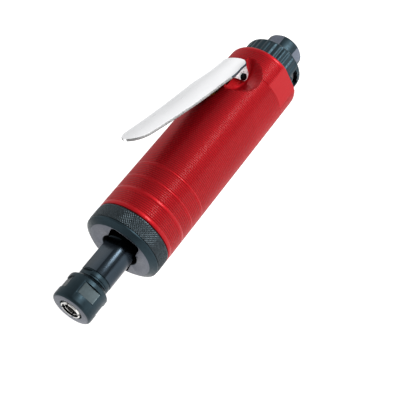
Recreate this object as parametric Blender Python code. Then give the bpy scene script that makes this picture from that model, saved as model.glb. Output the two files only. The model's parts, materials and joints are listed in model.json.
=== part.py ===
"""A straight air die grinder with a lever throttle and a rear exhaust.

Metres, +Z up. The spindle lies along X with the collet at +X and the air inlet at -X.
The lever is on top. The origin is on the spindle axis, at the middle of the housing.
"""

import math

import bmesh
import bpy
from mathutils import Matrix, Vector

MM = 0.001
GAP = 0.3 * MM  # between pieces that touch

# Housing
HOUSING_RADIUS = 18.5 * MM
HOUSING_FRONT = 53.5 * MM
HOUSING_REAR = -53.5 * MM
MOTOR_BORE_RADIUS = 16.2 * MM
MOTOR_BORE_FLOOR = -9.5 * MM
INLET_BORE_RADIUS = 8.3 * MM
INLET_BORE_FLOOR = -40.5 * MM
AIR_WAY_RADIUS = 5.0 * MM
BODY_FLAT_WIDTH = 34.0 * MM  # across the two wrench flats
BODY_FLAT_LENGTH = 14.4 * MM
EXHAUST_HOLE_RADIUS = 2.0 * MM
EXHAUST_HOLE_CIRCLE = 13.2 * MM
EXHAUST_HOLE_ANGLES = (-125, -95, -65, 65, 95, 125)  # degrees from the top

# Lever, its pin and the pockets that its ears swing in
PIVOT_X = -36.6 * MM
PIVOT_Z = 13.9 * MM
PIN_RADIUS = 1.6 * MM
PIN_HALF_LENGTH = 7.8 * MM
BOSS_HALF_WIDTH = 5.1 * MM
EAR_INSIDE = 5.4 * MM
EAR_OUTSIDE = 6.6 * MM
POCKET_RADIUS = 13.0 * MM
POCKET_CENTRE_X = -35.9 * MM
POCKET_CENTRE_Z = 23.2 * MM
POCKET_CORNER = 1.2 * MM
LEVER_OPEN = math.radians(10.5)  # from closed to released
LEVER_REAR = -4.6 * MM  # from the pivot, along the closed lever
LEVER_TIP = 72.0 * MM
LEVER_NECK_HALF_WIDTH = 8.0 * MM
LEVER_HALF_WIDTH = 8.9 * MM
LEVER_TIP_HALF_WIDTH = 6.8 * MM
LEVER_ROUND_START = 64.0 * MM
LEVER_LOW_TOP = 5.6 * MM  # top edge over the pivot, at its lowest
LEVER_LOW_AT = 23.0 * MM
LEVER_BOW = 0.9  # per metre
LEVER_CROWN = 1.0 * MM
LEVER_FOLD = 1.2 * MM  # how far the sheet's sides bend down at the hinge
LEVER_FOLD_LENGTH = 20.0 * MM
LEVER_CORNER = 2.2 * MM  # at the hinge end
SHEET = 1.2 * MM

# Throttle valve, upright under the lever
VALVE_X = -21.0 * MM
STEM_RADIUS = 2.3 * MM
STEM_TOP = 22.0 * MM
GUIDE_BORE_RADIUS = 4.4 * MM
GUIDE_BORE_FLOOR = 9.5 * MM
UPPER_CHAMBER_RADIUS = 3.3 * MM
VALVE_SEAT_Z = 1.0 * MM
LOWER_CHAMBER_RADIUS = 5.5 * MM
PLUG_BORE_RADIUS = 6.5 * MM
PLUG_BORE_FLOOR = -12.0 * MM
PLUG_BOTTOM = -17.2 * MM
GALLERY_Z = 6.0 * MM
PORT_Z = 12.5 * MM

# Vane motor
REAR_PLATE_REAR = -9.2 * MM
REAR_PLATE_FRONT = -0.2 * MM
CYLINDER_REAR = 0.1 * MM
CYLINDER_FRONT = 32.1 * MM
CYLINDER_RADIUS = 14.4 * MM
CYLINDER_BORE_RADIUS = 11.1 * MM
CYLINDER_OFFSET = -1.2 * MM
ROTOR_RADIUS = 9.6 * MM
VANES = 5
VANE_THICKNESS = 1.4 * MM
FRONT_PLATE_REAR = 32.4 * MM
FRONT_PLATE_FRONT = 43.6 * MM
PLATE_RADIUS = 15.9 * MM
SHAFT_RADIUS = 4.0 * MM
REAR_SHAFT_RADIUS = 3.0 * MM
BALLS = 8

# Clamp ring, collet body, collet and nut
RING_REAR = 53.8 * MM
RING_FRONT = 63.5 * MM
RING_FACE_RADIUS = 15.4 * MM
RING_SLOT_WIDTH = 14.4 * MM
RING_SLOT_LENGTH = 28.6 * MM
RING_SLOT_ANGLE = math.radians(46)  # from the top, towards +Y
NECK_RADIUS = 7.3 * MM
NECK_FLAT_WIDTH = 12.0 * MM
NUT_RADIUS = 9.45 * MM
NUT_FLAT_WIDTH = 17.0 * MM
NUT_FLAT_ANGLE = math.radians(62)
NUT_REAR = 83.6 * MM
NUT_FRONT = 97.3 * MM
SHANK_RADIUS = 3.2 * MM  # bore for a 6.35 mm tool shank

# Exhaust deflector and inlet bushing
DEFLECTOR_RADIUS = 15.2 * MM
DEFLECTOR_FRONT = -53.9 * MM
DEFLECTOR_REAR = -64.4 * MM
DEFLECTOR_RIBS = 30
RIB_DEPTH = 0.6 * MM
WRENCH_WIDTH = 17.8 * MM  # across the bushing's four flats
WRENCH_TURN = math.radians(8)
BUSHING_RADIUS = 9.5 * MM
BUSHING_FRONT = -64.8 * MM
BUSHING_REAR = -75.2 * MM
HOSE_BORE_RADIUS = 6.2 * MM

BLACK_OXIDE = ((0.035, 0.042, 0.05), 0.35, 0.8)
RED_ANODISED = ((0.52, 0.015, 0.025), 0.3, 0.6)
BRIGHT_STEEL = ((0.8, 0.8, 0.8), 0.15, 1.0)
GROUND_STEEL = ((0.5, 0.5, 0.5), 0.3, 1.0)
CAST_IRON = ((0.2, 0.2, 0.2), 0.6, 0.8)
ALUMINIUM = ((0.7, 0.7, 0.72), 0.35, 1.0)
BRASS = ((0.6, 0.42, 0.15), 0.25, 1.0)
RUBBER = ((0.02, 0.02, 0.02), 0.7, 0.0)
FELT = ((0.12, 0.12, 0.13), 1.0, 0.0)
VANE_RESIN = ((0.25, 0.13, 0.05), 0.6, 0.0)


def clear_scene():
    for obj in list(bpy.data.objects):
        bpy.data.objects.remove(obj, do_unlink=True)


def material(name, look):
    colour, roughness, metallic = look
    made = bpy.data.materials.new(name)
    made.use_nodes = True
    shader = made.node_tree.nodes["Principled BSDF"]
    shader.inputs["Base Color"].default_value = (*colour, 1.0)
    shader.inputs["Roughness"].default_value = roughness
    shader.inputs["Metallic"].default_value = metallic
    return made


def add_object(name, bm, look=None):
    """An object from a closed bmesh. With no look it is a cutter, which is left out of renders."""
    bmesh.ops.recalc_face_normals(bm, faces=bm.faces)
    mesh = bpy.data.meshes.new(name)
    bm.to_mesh(mesh)
    bm.free()
    mesh.shade_smooth()
    mesh.set_sharp_from_angle(angle=math.radians(35))
    obj = bpy.data.objects.new(name, mesh)
    bpy.context.scene.collection.objects.link(obj)
    if look:
        mesh.materials.append(material(name, look))
    else:
        obj.hide_render = True
        obj.display_type = "WIRE"
    return obj


def along(axis, distance, across):
    """A point at a distance along the axis and a distance across it."""
    places = {"X": (distance, 0, across), "Y": (across, distance, 0), "Z": (across, 0, distance)}
    return Vector(places[axis])


def turned(name, outline, look=None, axis="X", steps=40, centre=(0, 0, 0)):
    """A turned piece. The outline is (distance along, radius) pairs: a closed loop that keeps
    off the axis, or a chain that starts and ends on it."""
    bm = bmesh.new()
    points = [bm.verts.new(along(axis, distance, radius)) for distance, radius in outline]
    for first, second in zip(points, points[1:]):
        bm.edges.new((first, second))
    if min(radius for _, radius in outline) > 0:
        bm.edges.new((points[-1], points[0]))
    turn_axis = Vector({"X": (1, 0, 0), "Y": (0, 1, 0), "Z": (0, 0, 1)}[axis])
    bmesh.ops.spin(
        bm, geom=bm.verts[:] + bm.edges[:], cent=(0, 0, 0), axis=turn_axis,
        angle=math.tau, steps=steps, use_merge=True,
    )
    bmesh.ops.remove_doubles(bm, verts=bm.verts, dist=1e-6)
    bmesh.ops.translate(bm, verts=bm.verts, vec=centre)
    return add_object(name, bm, look)


def tube(name, low, high, inner, outer, look=None, axis="X", steps=40, centre=(0, 0, 0)):
    outline = [(low, inner), (low, outer), (high, outer), (high, inner)]
    return turned(name, outline, look, axis, steps, centre)


def rod(name, low, high, radius, look=None, axis="X", steps=28, centre=(0, 0, 0)):
    outline = [(low, 0), (low, radius), (high, radius), (high, 0)]
    return turned(name, outline, look, axis, steps, centre)


def drills(name, low, high, radius, centres, steps=12):
    """One cutter for several holes of one size, all along X."""
    bm = bmesh.new()
    for centre in centres:
        lie_down = Matrix.Rotation(math.pi / 2, 4, "Y")
        place = Matrix.Translation(Vector(centre) + Vector(((low + high) / 2, 0, 0)))
        bmesh.ops.create_cone(
            bm, cap_ends=True, segments=steps, radius1=radius, radius2=radius,
            depth=high - low, matrix=place @ lie_down,
        )
    return add_object(name, bm)


def prism(name, outline, start, end, look=None):
    """A straight extrusion: the outline's 3-D points, shifted by start and by end."""
    bm = bmesh.new()
    base = [bm.verts.new(Vector(point) + Vector(start)) for point in outline]
    face = bm.faces.new(base)
    moved = bmesh.ops.extrude_face_region(bm, geom=[face])["geom"]
    verts = [item for item in moved if isinstance(item, bmesh.types.BMVert)]
    bmesh.ops.translate(bm, verts=verts, vec=Vector(end) - Vector(start))
    return add_object(name, bm, look)


def block(name, low, high, look=None):
    (x0, y0, z0), (x1, y1, z1) = low, high
    outline = [(0, y0, z0), (0, y1, z0), (0, y1, z1), (0, y0, z1)]
    return prism(name, outline, (x0, 0, 0), (x1, 0, 0), look)


def turn_about_x(obj, angle):
    obj.data.transform(Matrix.Rotation(-angle, 4, "X"))
    return obj


def combine(target, tool, operation="DIFFERENCE"):
    """Cuts the tool from the target, or joins or intersects them."""
    modifier = target.modifiers.new(tool.name, "BOOLEAN")
    modifier.operation = operation
    modifier.solver = "EXACT"
    modifier.object = tool
    return target


def set_origin(obj, point):
    """Moves the object's origin and leaves its shape where it is."""
    obj.data.transform(Matrix.Translation(-Vector(point)))
    obj.location = point


def ring_position(radius, angle, x=0.0):
    """A point on a circle about the spindle axis, with the angle from the top towards +Y."""
    return Vector((x, radius * math.sin(angle), radius * math.cos(angle)))


# Housing ------------------------------------------------------------------------------------


def housing():
    chamfer = 0.7 * MM
    outline = [
        (HOUSING_REAR, INLET_BORE_RADIUS),
        (HOUSING_REAR, HOUSING_RADIUS - chamfer),
        (HOUSING_REAR + chamfer, HOUSING_RADIUS),
        (HOUSING_FRONT - 0.3 * MM, HOUSING_RADIUS),
        (HOUSING_FRONT, HOUSING_RADIUS - 0.3 * MM),
        (HOUSING_FRONT, MOTOR_BORE_RADIUS),
        (MOTOR_BORE_FLOOR, MOTOR_BORE_RADIUS),
        (MOTOR_BORE_FLOOR, 3.0 * MM),
        (MOTOR_BORE_FLOOR - 1.5 * MM, 0),
    ]
    outline = [(INLET_BORE_FLOOR, 0), (INLET_BORE_FLOOR, INLET_BORE_RADIUS)] + outline
    body = turned("housing", outline, RED_ANODISED, steps=64)
    combine(body, rod("cut_air_way", INLET_BORE_FLOOR - MM, -25.9 * MM, AIR_WAY_RADIUS))
    for tool in valve_bores() + pocket_cutters() + exhaust_hole_cutters() + body_flat_cutters():
        combine(body, tool)
    boss_hole = rod(
        "cut_pin_hole", -20 * MM, 20 * MM, PIN_RADIUS + GAP, axis="Y", steps=20,
        centre=(PIVOT_X, 0, PIVOT_Z),
    )
    combine(body, boss_hole)


def valve_bores():
    centre = (VALVE_X, 0, 0)
    chamber = [
        (-20 * MM, 0),
        (-20 * MM, PLUG_BORE_RADIUS),
        (PLUG_BORE_FLOOR, PLUG_BORE_RADIUS),
        (PLUG_BORE_FLOOR, LOWER_CHAMBER_RADIUS),
        (VALVE_SEAT_Z, LOWER_CHAMBER_RADIUS),
        (VALVE_SEAT_Z, UPPER_CHAMBER_RADIUS),
        (GUIDE_BORE_FLOOR, UPPER_CHAMBER_RADIUS),
        (GUIDE_BORE_FLOOR, GUIDE_BORE_RADIUS),
        (20 * MM, GUIDE_BORE_RADIUS),
        (20 * MM, 0),
    ]
    return [
        turned("cut_valve_bore", chamber, axis="Z", steps=32, centre=centre),
        rod("cut_gallery", VALVE_X, -11 * MM, 2.2 * MM, steps=16, centre=(0, 0, GALLERY_Z)),
        block(
            "cut_port_recess",
            (-12.2 * MM, -3 * MM, 3.5 * MM),
            (MOTOR_BORE_FLOOR + MM, 3 * MM, 14.8 * MM),
        ),
    ]


def pocket_cutters():
    """A round pocket each side of the boss, and the relief on top of it for the lever's rear end."""
    corner = POCKET_CORNER
    tools = []
    for side, name in ((1, "cut_pocket_left"), (-1, "cut_pocket_right")):
        outline = [(BOSS_HALF_WIDTH, 0)]
        for i in range(6):
            angle = math.radians(90 * i / 5)
            reach = POCKET_RADIUS - corner + corner * math.sin(angle)
            outline.append((BOSS_HALF_WIDTH + corner - corner * math.cos(angle), reach))
        outline += [(21 * MM, POCKET_RADIUS), (21 * MM, 0)]
        outline = [(side * distance, radius) for distance, radius in outline]
        centre = (POCKET_CENTRE_X, 0, POCKET_CENTRE_Z)
        tools.append(turned(name, outline, axis="Y", steps=64, centre=centre))
    relief_low = (-42.8 * MM, -5.6 * MM, 16.5 * MM)
    tools.append(block("cut_boss_relief", relief_low, (-27 * MM, 5.6 * MM, 20 * MM)))
    return tools


def exhaust_positions(radius):
    return [ring_position(radius, math.radians(degrees)) for degrees in EXHAUST_HOLE_ANGLES]


def exhaust_hole_cutters():
    low, high = HOUSING_REAR - MM, MOTOR_BORE_FLOOR + MM
    centres = exhaust_positions(EXHAUST_HOLE_CIRCLE)
    return [drills("cut_exhaust_holes", low, high, EXHAUST_HOLE_RADIUS, centres)]


def body_flat_cutters():
    tools = []
    for side, name in ((1, "cut_flat_left"), (-1, "cut_flat_right")):
        near, far = sorted((side * BODY_FLAT_WIDTH / 2, side * 25 * MM))
        low = (HOUSING_REAR - MM, near, -25 * MM)
        high = (HOUSING_REAR + BODY_FLAT_LENGTH, far, 25 * MM)
        tools.append(block(name, low, high))
    return tools


# Lever and throttle -------------------------------------------------------------------------


def eased(share):
    share = min(max(share, 0.0), 1.0)
    return share * share * (3 - 2 * share)


def lever_half_width(distance):
    """Half the width of the handle's plate, at a distance from the pivot along it."""
    blend = eased((distance + 1 * MM) / (9 * MM))
    width = LEVER_NECK_HALF_WIDTH + (LEVER_HALF_WIDTH - LEVER_NECK_HALF_WIDTH) * blend
    taper = max(distance - 14 * MM, 0.0) / (LEVER_ROUND_START - 14 * MM)
    width -= (LEVER_HALF_WIDTH - LEVER_TIP_HALF_WIDTH) * min(taper, 1.0)
    rounding = max(distance - LEVER_ROUND_START, 0.0) / (LEVER_TIP - LEVER_ROUND_START)
    corner = max(LEVER_REAR + LEVER_CORNER - distance, 0.0)
    width -= LEVER_CORNER - math.sqrt(LEVER_CORNER**2 - corner**2)
    return width * math.sqrt(max(1 - rounding**2, 0.04))


def lever_top(distance, across):
    """Height of the plate's top over the pivot when the lever is closed. Near the hinge the
    sheet's sides bend down into the ears."""
    bow = LEVER_LOW_TOP + LEVER_BOW * (distance - LEVER_LOW_AT) ** 2
    fold = LEVER_FOLD * (1 - eased((distance + 1 * MM) / LEVER_FOLD_LENGTH))
    bend = fold * abs(across / LEVER_HALF_WIDTH) ** 3
    return bow + LEVER_CROWN * (1 - (across / LEVER_HALF_WIDTH) ** 2) - bend


def lever_plate():
    columns = 8
    length = LEVER_ROUND_START - LEVER_REAR
    straight = [LEVER_REAR + x * MM for x in (0, 0.3, 0.9, 1.6)]
    straight += [LEVER_REAR + 2.4 * MM + i * (length - 2.4 * MM) / 18 for i in range(19)]
    round_end = LEVER_TIP - LEVER_ROUND_START
    tip = [LEVER_ROUND_START + round_end * math.sin(math.pi / 2 * i / 6) for i in range(1, 7)]
    bm = bmesh.new()
    top, bottom = [], []
    for distance in straight + tip:
        half = lever_half_width(distance)
        row = [half * (2 * j / columns - 1) for j in range(columns + 1)]
        heights = [lever_top(distance, y) for y in row]
        top.append([bm.verts.new((distance, y, z)) for y, z in zip(row, heights)])
        bottom.append([bm.verts.new((distance, y, z - SHEET)) for y, z in zip(row, heights)])
    for upper, lower, next_upper, next_lower in zip(top, bottom, top[1:], bottom[1:]):
        for j in range(columns):
            bm.faces.new((upper[j], next_upper[j], next_upper[j + 1], upper[j + 1]))
            bm.faces.new((lower[j], lower[j + 1], next_lower[j + 1], next_lower[j]))
        for j in (0, columns):
            bm.faces.new((upper[j], lower[j], next_lower[j], next_upper[j]))
    for end in (0, -1):
        for j in range(columns):
            bm.faces.new((top[end][j], top[end][j + 1], bottom[end][j + 1], bottom[end][j]))
    return add_object("lever", bm, BRIGHT_STEEL)


def ear_outline():
    """Side view of an ear, about the pivot: round at the back and below, rising to the front."""
    centre_x, centre_z, radius = -1.2 * MM, 0.6 * MM, 3.0 * MM
    arc = [math.radians(180 + 125 * i / 12) for i in range(13)]
    points = [(centre_x + radius * math.cos(a), 0, centre_z + radius * math.sin(a)) for a in arc]
    front = [(8.6, 4.6), (9.2, 5.1), (-4.2, 5.3)]
    return points + [(x * MM, 0, z * MM) for x, z in front]


def lever():
    handle = lever_plate()
    tools = []
    for side, name in ((1, "join_ear_left"), (-1, "join_ear_right")):
        start = (0, side * EAR_INSIDE, 0)
        tools.append(prism(name, ear_outline(), start, (0, side * EAR_OUTSIDE, 0)))
        combine(handle, tools[-1], "UNION")
    tools.append(rod("cut_lever_hole", -9 * MM, 9 * MM, PIN_RADIUS + GAP, axis="Y", steps=20))
    combine(handle, tools[-1])
    opened = Matrix.Translation((PIVOT_X, 0, PIVOT_Z)) @ Matrix.Rotation(-LEVER_OPEN, 4, "Y")
    for obj in [handle] + tools:
        obj.data.transform(opened)
        set_origin(obj, (PIVOT_X, 0, PIVOT_Z))


def lever_pin():
    chamfer = 0.3 * MM
    outline = [
        (-PIN_HALF_LENGTH, 0),
        (-PIN_HALF_LENGTH, PIN_RADIUS - chamfer),
        (-PIN_HALF_LENGTH + chamfer, PIN_RADIUS),
        (PIN_HALF_LENGTH - chamfer, PIN_RADIUS),
        (PIN_HALF_LENGTH, PIN_RADIUS - chamfer),
        (PIN_HALF_LENGTH, 0),
    ]
    centre = (PIVOT_X, 0, PIVOT_Z)
    turned("lever_pin", outline, BLACK_OXIDE, axis="Y", steps=20, centre=centre)


def throttle():
    """Stem, its guide and seal, the valve under its seat, and the plug that holds the spring."""
    centre = (VALVE_X, 0, 0)
    bore = STEM_RADIUS + GAP
    stem_outline = [
        (VALVE_SEAT_Z, 0),
        (VALVE_SEAT_Z, 1.5 * MM),
        (8 * MM, 1.5 * MM),
        (8.8 * MM, STEM_RADIUS),
        (STEM_TOP - 0.9 * MM, STEM_RADIUS),
        (STEM_TOP - 0.3 * MM, STEM_RADIUS - 0.8 * MM),
        (STEM_TOP, 0),
    ]
    turned("valve_stem", stem_outline, BRASS, axis="Z", steps=24, centre=centre)
    guide_outline = [
        (11.8 * MM, bore),
        (11.8 * MM, GUIDE_BORE_RADIUS - GAP),
        (17.9 * MM, GUIDE_BORE_RADIUS - GAP),
        (17.9 * MM, bore + 0.4 * MM),
        (17.5 * MM, bore),
    ]
    turned("stem_guide", guide_outline, BRASS, axis="Z", steps=32, centre=centre)
    seal_radius = (GUIDE_BORE_RADIUS - GAP - bore) / 2
    seal = [
        (10.7 * MM + seal_radius * math.cos(a), bore + seal_radius * (1 + math.sin(a)))
        for a in [math.tau * i / 8 for i in range(8)]
    ]
    turned("stem_seal", seal, RUBBER, axis="Z", steps=24, centre=centre)
    valve_outline = [
        (-5.0 * MM, 0),
        (-5.0 * MM, 2.4 * MM),
        (-3.2 * MM, 2.6 * MM),
        (-3.2 * MM, 4.9 * MM),
        (VALVE_SEAT_Z - GAP, 4.9 * MM),
        (VALVE_SEAT_Z - GAP, 0),
    ]
    turned("throttle_valve", valve_outline, RUBBER, axis="Z", steps=32, centre=centre)
    plug_outline = [
        (PLUG_BOTTOM, 0),
        (PLUG_BOTTOM, PLUG_BORE_RADIUS - GAP - 0.5 * MM),
        (PLUG_BOTTOM + 0.5 * MM, PLUG_BORE_RADIUS - GAP),
        (PLUG_BORE_FLOOR - GAP, PLUG_BORE_RADIUS - GAP),
        (PLUG_BORE_FLOOR - GAP, 0),
    ]
    plug = turned("valve_plug", plug_outline, BLACK_OXIDE, axis="Z", steps=40, centre=centre)
    low, high = (VALVE_X - 0.8 * MM, -8 * MM, -20 * MM), (VALVE_X + 0.8 * MM, 8 * MM, -15.6 * MM)
    combine(plug, block("cut_plug_slot", low, high))


def valve_spring():
    """A closed helix of round wire between the valve and the plug."""
    wire, radius, turns, sides, steps = 0.45 * MM, 3.5 * MM, 4.5, 6, 14
    low = PLUG_BORE_FLOOR + wire + GAP
    high = -3.2 * MM - wire - GAP
    count = int(turns * steps)
    bm = bmesh.new()
    loops = []
    for i in range(count + 1):
        angle = math.tau * i / steps
        outward = Vector((math.cos(angle), math.sin(angle), 0))
        centre = outward * radius + Vector((VALVE_X, 0, low + (high - low) * i / count))
        sides_of_wire = [math.tau * j / sides for j in range(sides)]
        loop = [(outward * math.cos(s) + Vector((0, 0, math.sin(s)))) * wire for s in sides_of_wire]
        loops.append([bm.verts.new(centre + offset) for offset in loop])
    for first, second in zip(loops, loops[1:]):
        for j in range(sides):
            following = (j + 1) % sides
            bm.faces.new((first[j], first[following], second[following], second[j]))
    bm.faces.new(loops[0])
    bm.faces.new(loops[-1])
    add_object("valve_spring", bm, GROUND_STEEL)


# Vane motor ---------------------------------------------------------------------------------


def rear_plate():
    outline = [
        (REAR_PLATE_FRONT, SHAFT_RADIUS),
        (REAR_PLATE_FRONT, PLATE_RADIUS),
        (REAR_PLATE_REAR, PLATE_RADIUS),
        (REAR_PLATE_REAR, 9.8 * MM),
        (-3.2 * MM, 9.8 * MM),
        (-3.2 * MM, SHAFT_RADIUS),
    ]
    plate = turned("rear_plate", outline, CAST_IRON)
    notches = exhaust_positions(EXHAUST_HOLE_CIRCLE + 1.7 * MM)
    combine(plate, drills("cut_plate_notches", -10 * MM, MM, 2.2 * MM, notches))
    combine(plate, dowel_cutter())
    combine(plate, drills("cut_plate_port", -10 * MM, MM, 1.5 * MM, [(0, 0, PORT_Z)]))


def dowel_centre():
    return ring_position(12.3 * MM, math.radians(35))


def dowel_cutter():
    """One cutter for the blind holes in the rear plate and in the cylinder."""
    known = bpy.data.objects.get("cut_dowel_hole")
    if known:
        return known
    return rod("cut_dowel_hole", -4 * MM, 5 * MM, 1.3 * MM, steps=12, centre=dowel_centre())


def cylinder():
    outline = [
        (CYLINDER_REAR, 0),
        (CYLINDER_REAR, CYLINDER_RADIUS),
        (CYLINDER_FRONT, CYLINDER_RADIUS),
        (CYLINDER_FRONT, 0),
    ]
    liner = turned("cylinder", outline, CAST_IRON)
    low, high = CYLINDER_REAR - MM, CYLINDER_FRONT + MM
    bore_centre = (0, 0, CYLINDER_OFFSET)
    combine(liner, rod("cut_bore", low, high, CYLINDER_BORE_RADIUS, steps=40, centre=bore_centre))
    combine(liner, rod("cut_inlet", -MM, 9 * MM, 1.3 * MM, steps=12, centre=(0, 0, PORT_Z)))
    slot = block("cut_inlet_slot", (5 * MM, -1.2 * MM, 9 * MM), (8.6 * MM, 1.2 * MM, PORT_Z))
    combine(liner, slot)
    for i in range(3):
        start = (8 + 6.5 * i) * MM
        port = block(f"cut_port_{i + 1}", (start, 5 * MM, -20 * MM), (start + 3.5 * MM, 9 * MM, -5 * MM))
        combine(liner, port)
    combine(liner, dowel_cutter())
    rod("cylinder_dowel", -2.9 * MM, 4.2 * MM, 1.0 * MM, GROUND_STEEL, steps=12, centre=dowel_centre())


def rotor():
    outline = [
        (-9.0 * MM, 0),
        (-9.0 * MM, REAR_SHAFT_RADIUS),
        (-2.0 * MM, REAR_SHAFT_RADIUS),
        (-2.0 * MM, 3.6 * MM),
        (CYLINDER_REAR + GAP, 3.6 * MM),
        (CYLINDER_REAR + GAP, ROTOR_RADIUS),
        (CYLINDER_FRONT - GAP, ROTOR_RADIUS),
        (CYLINDER_FRONT - GAP, 4.7 * MM),
        (35.3 * MM, 4.7 * MM),
        (35.3 * MM, SHAFT_RADIUS),
        (61.5 * MM, SHAFT_RADIUS),
        (62.0 * MM, SHAFT_RADIUS - 0.5 * MM),
        (62.0 * MM, 0),
    ]
    body = turned("rotor", outline, GROUND_STEEL)
    low, high = CYLINDER_REAR - 2 * MM, CYLINDER_FRONT + 2 * MM
    half_slot = VANE_THICKNESS / 2 + GAP
    for i in range(VANES):
        angle = math.tau * i / VANES
        slot = block(f"cut_slot_{i + 1}", (low, -half_slot, 5.0 * MM), (high, half_slot, 12 * MM))
        combine(body, turn_about_x(slot, angle))
        vane = block(
            f"vane_{i + 1}",
            (CYLINDER_REAR + GAP, -VANE_THICKNESS / 2, 5.3 * MM),
            (CYLINDER_FRONT - GAP, VANE_THICKNESS / 2, ROTOR_RADIUS - 0.1 * MM),
            VANE_RESIN,
        )
        turn_about_x(vane, angle)


def front_plate():
    outline = [
        (FRONT_PLATE_REAR, 5.1 * MM),
        (FRONT_PLATE_REAR, PLATE_RADIUS),
        (FRONT_PLATE_FRONT, PLATE_RADIUS),
        (FRONT_PLATE_FRONT, 11.3 * MM),
        (35.4 * MM, 11.3 * MM),
        (35.4 * MM, 5.1 * MM),
    ]
    turned("front_plate", list(reversed(outline)), CAST_IRON)
    tube("bearing_retainer", 43.9 * MM, 45.4 * MM, 9.6 * MM, 15.8 * MM, GROUND_STEEL)


def ball_bearing(name, low, high, bore, inner_edge, outer_edge, outside):
    """A deep-groove bearing: outer ring, inner ring, and the balls held in one cage."""
    tube(f"{name}_outer", low, high, outer_edge, outside, GROUND_STEEL)
    tube(f"{name}_inner", low, high, bore, inner_edge, GROUND_STEEL, steps=32)
    middle = (low + high) / 2
    pitch = (inner_edge + outer_edge) / 2
    ball = (outer_edge - inner_edge) / 2 - GAP
    cage = tube(
        f"{name}_balls", middle - 0.7 * MM, middle + 0.7 * MM, pitch - 0.35 * MM,
        pitch + 0.35 * MM, BRASS, steps=32,
    )
    bm = bmesh.new()
    for i in range(BALLS):
        place = Matrix.Translation(ring_position(pitch, math.tau * i / BALLS, middle))
        bmesh.ops.create_icosphere(bm, subdivisions=1, radius=ball, matrix=place)
    combine(cage, add_object(f"join_{name}", bm), "UNION")


# Nose ---------------------------------------------------------------------------------------


def clamp_ring():
    """The ring that screws into the housing. Its spigot holds the motor in."""
    thread_end, thread_radius, cavity_radius = 45.7 * MM, 15.9 * MM, 12.4 * MM
    land = 61.8 * MM
    outline = [
        (thread_end, cavity_radius),
        (thread_end, thread_radius),
        (RING_REAR, thread_radius),
        (RING_REAR, HOUSING_RADIUS),
        (land - MM, HOUSING_RADIUS),
        (land - MM, HOUSING_RADIUS - 0.25 * MM),
        (land, HOUSING_RADIUS - 0.3 * MM),
        (RING_FRONT, RING_FACE_RADIUS),
        (RING_FRONT, 9.0 * MM),
        (58.5 * MM, 9.0 * MM),
        (58.5 * MM, cavity_radius),
    ]
    ring = turned("clamp_ring", outline, BLACK_OXIDE, steps=64)
    half_width, half_length = RING_SLOT_WIDTH / 2, RING_SLOT_LENGTH / 2
    corner = 2.5 * MM
    outline = []
    for side_y, side_z, start in ((1, 1, 0), (1, -1, 90), (-1, -1, 180), (-1, 1, 270)):
        for i in range(5):
            angle = math.radians(start + 90 * i / 4)
            y = side_y * (half_width - corner) + corner * math.sin(angle)
            z = side_z * (half_length - corner) + corner * math.cos(angle)
            outline.append((0, y, z))
    slot = prism("cut_spanner_slot", outline, (57 * MM, 0, 0), (65 * MM, 0, 0))
    combine(ring, turn_about_x(slot, RING_SLOT_ANGLE))


def flat_cutters(name, count, across, low, high, turn=0.0):
    """Blocks that mill flats, evenly spaced about the spindle axis."""
    tools = []
    for i in range(count):
        tool = block(f"{name}_{i + 1}", (low, -12 * MM, across / 2), (high, 12 * MM, across))
        tools.append(turn_about_x(tool, turn + math.tau * i / count))
    return tools


def collet_body():
    outline = [
        (43.0 * MM, SHAFT_RADIUS + GAP),
        (43.0 * MM, 6.2 * MM),
        (47.0 * MM, 6.2 * MM),
        (48.0 * MM, NECK_RADIUS),
        (80.0 * MM, NECK_RADIUS),
        (80.0 * MM, 6.8 * MM),
        (80.6 * MM, 6.8 * MM),
        (80.6 * MM, 7.1 * MM),
        (82.9 * MM, 7.1 * MM),
        (83.2 * MM, 6.6 * MM),
        (90.6 * MM, 6.6 * MM),
        (90.6 * MM, 5.7 * MM),
        (74.0 * MM, 5.0 * MM),
        (72.0 * MM, 4.2 * MM),
        (66.0 * MM, 4.2 * MM),
        (64.0 * MM, 3.4 * MM),
        (62.3 * MM, SHAFT_RADIUS + GAP),
    ]
    body = turned("collet_body", outline, BLACK_OXIDE)
    for tool in flat_cutters("cut_neck_flat", 2, NECK_FLAT_WIDTH, 62 * MM, 83.1 * MM):
        combine(body, tool)


def collet():
    """A spring collet with four slots from the front. Its rear end stays whole."""
    outline = [
        (74.5 * MM, SHANK_RADIUS),
        (74.5 * MM, 4.5 * MM),
        (90.2 * MM, 5.2 * MM),
        (91.4 * MM, 6.2 * MM),
        (92.2 * MM, 6.2 * MM),
        (97.2 * MM, 4.8 * MM),
        (97.8 * MM, 4.5 * MM),
        (97.8 * MM, SHANK_RADIUS + 0.2 * MM),
        (97.6 * MM, SHANK_RADIUS),
    ]
    sleeve = turned("collet", outline, BRIGHT_STEEL, steps=40)
    low, high = (79 * MM, -0.4 * MM, 2 * MM), (99 * MM, 0.4 * MM, 8 * MM)
    for i in range(4):
        slot = block(f"cut_collet_slot_{i + 1}", low, high)
        combine(sleeve, turn_about_x(slot, math.radians(20 + 90 * i)))


def collet_nut():
    outline = [
        (NUT_REAR, 7.0 * MM),
        (NUT_REAR, 7.7 * MM),
        (NUT_REAR + 1.6 * MM, NUT_RADIUS),
        (NUT_FRONT - 1.0 * MM, NUT_RADIUS),
        (NUT_FRONT - 0.3 * MM, NUT_RADIUS - 0.3 * MM),
        (NUT_FRONT, NUT_RADIUS - 0.9 * MM),
        (NUT_FRONT, 5.4 * MM),
        (96.7 * MM, 5.3 * MM),
        (92.0 * MM, 7.0 * MM),
    ]
    nut = turned("collet_nut", outline, BLACK_OXIDE)
    low, high = NUT_REAR + 3.6 * MM, NUT_REAR + 9.0 * MM
    for tool in flat_cutters("cut_nut_flat", 4, NUT_FLAT_WIDTH, low, high, NUT_FLAT_ANGLE):
        combine(nut, tool)


# Rear end -----------------------------------------------------------------------------------


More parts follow.
